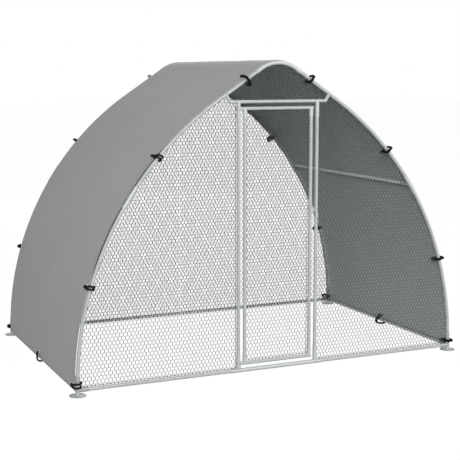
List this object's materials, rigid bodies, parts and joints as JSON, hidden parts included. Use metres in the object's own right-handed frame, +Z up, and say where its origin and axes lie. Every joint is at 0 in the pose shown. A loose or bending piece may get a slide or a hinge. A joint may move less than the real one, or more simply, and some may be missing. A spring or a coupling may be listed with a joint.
{
  "type": "walk-in chicken run",
  "caption": "Walk-in poultry run on an arched tube frame with hexagon wire net walls, a sheet cover tied on with ball cords, and a hinged net door with a turn button latch.",
  "frame": {"origin": "on the floor under the middle of the run", "axes": "+X to the right seen from the front, along the wide side; +Y from the door wall to the rear wall; +Z up"},
  "size_m": [2.785, 1.802, 2.0013],
  "materials": {
    "tube": "pale grey coat on steel tube",
    "fitting": "zinc plated steel, satin",
    "hardware": "zinc plated steel",
    "net": "galvanised wire",
    "cover": "plain woven coated sheet, grey outside, darker inside",
    "cord": "braided elastic cord",
    "ball": "smooth black plastic"
  },
  "bodies": {
    "frame": {"foot_front_left": "fitting", "foot_front_right": "fitting", "foot_rear_left": "fitting", "foot_rear_right": "fitting", "corner_front_left": "fitting", "corner_front_right": "fitting", "corner_rear_left": "fitting", "corner_rear_right": "fitting", "arch_lower_front_left": "tube", "arch_lower_front_right": "tube", "arch_lower_rear_left": "tube", "arch_lower_rear_right": "tube", "arch_tee_front_left": "fitting", "arch_tee_front_right": "fitting", "arch_tee_rear_left": "fitting", "arch_tee_rear_right": "fitting", "arch_upper_front_left": "tube", "arch_upper_front_right": "tube", "arch_upper_rear_left": "tube", "arch_upper_rear_right": "tube", "ridge_front": "fitting", "ridge_rear": "fitting", "purlin_ridge": "tube", "purlin_left": "tube", "purlin_right": "tube", "rail_left": "tube", "rail_right": "tube", "rail_rear": "tube", "rail_front_left": "tube", "rail_front_right": "tube", "threshold": "fitting", "header": "tube", "header_arm_left": "tube", "header_arm_right": "tube", "post_left": "tube", "post_right": "tube", "post_sockets": "fitting", "latch_clamp": "hardware", "latch_rivet": "hardware", "net_front_left": "net", "net_front_right": "net", "net_gable": "net", "net_rear": "net", "net_roof": "net", "cover": "cover", "eyelets": "hardware", "tie_cords": "cord", "tie_balls": "ball", "frame_screws": "hardware"},
    "door": {"leaf_top_rail": "tube", "leaf_bottom_rail": "tube", "leaf_sockets": "fitting", "leaf_stile_left": "tube", "leaf_stile_right": "tube", "strike_clamp": "hardware", "net_door": "net", "leaf_screws": "hardware"},
    "latch": {"latch_button": "hardware"}
  },
  "joints": [
    {"name": "door_hinge", "type": "hinge", "parent": "frame", "child": "door", "pos_m": [-0.277, -0.8485, 0.8], "axis": [0, 0, -1], "range_deg": [0, 110]},
    {"name": "latch_turn", "type": "hinge", "parent": "frame", "child": "latch", "pos_m": [0.277, -0.8688, 1.003], "axis": [0, -1, 0], "range_deg": [0, 35]}
  ]
}
